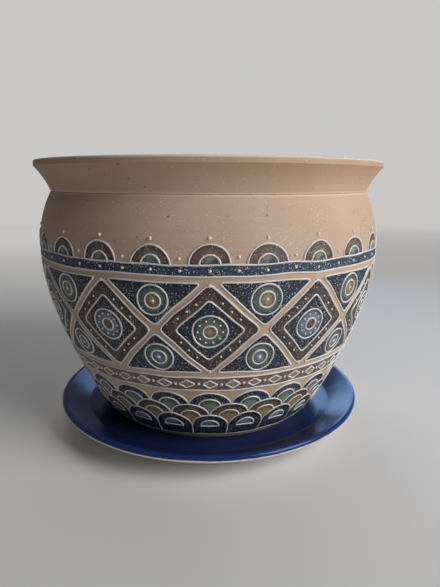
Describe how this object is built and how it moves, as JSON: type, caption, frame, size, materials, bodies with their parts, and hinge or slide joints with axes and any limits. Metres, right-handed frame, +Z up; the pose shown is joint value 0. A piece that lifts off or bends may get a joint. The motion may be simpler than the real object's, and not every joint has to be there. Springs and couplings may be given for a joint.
{
  "type": "plant pot with saucer",
  "caption": "Round-bellied stoneware plant pot with a flared lip and drained floor, standing in a shallow glazed saucer that it lifts out of.",
  "frame": {"origin": "centre of the saucer's foot ring, on the surface that it stands on", "axes": "+Z up along the axis that both pieces are turned about, -Y towards the viewer"},
  "size_m": [0.24, 0.24, 0.188],
  "materials": {
    "stoneware": "matte buff stoneware with coloured slips and raised trailed lines",
    "glazed_stoneware": "glossy deep blue glaze above, bare cream clay below"
  },
  "bodies": {
    "saucer": {"saucer": "glazed_stoneware"},
    "pot": {"pot": "stoneware"}
  },
  "joints": [
    {"name": "lift_out", "type": "slide", "parent": "saucer", "child": "pot", "axis": [0, 0, 1], "range_m": [0, 0.06]}
  ]
}
